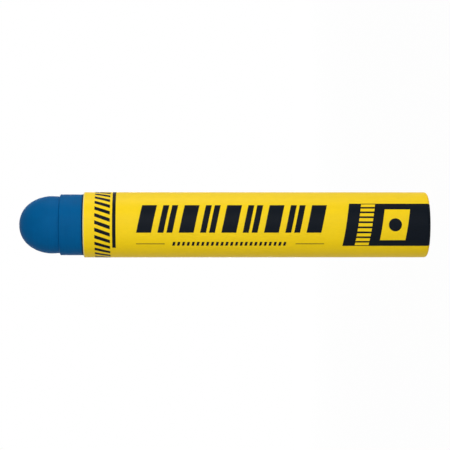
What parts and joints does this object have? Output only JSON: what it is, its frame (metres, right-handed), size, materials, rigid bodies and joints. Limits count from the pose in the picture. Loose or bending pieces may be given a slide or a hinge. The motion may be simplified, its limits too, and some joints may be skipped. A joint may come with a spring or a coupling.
{
  "type": "oil paint stick",
  "caption": "Round stick of solid oil paint with a domed tip, held in a printed paper sleeve that is rolled, lapped at the back and turned in at the rear end.",
  "frame": {"origin": "middle of the turned-in rear end of the sleeve, on which the stick stands", "axes": "+Z along the stick, towards the domed tip; the printed field faces -Y and the lap of the sleeve is at the back, towards +Y"},
  "size_m": [0.0192, 0.0193, 0.12],
  "materials": {
    "paint": "waxy, satin",
    "sleeve_paper": "printed paper, soft sheen"
  },
  "bodies": {
    "root": {"paint_stick": "paint", "sleeve": "sleeve_paper"}
  },
  "joints": []
}
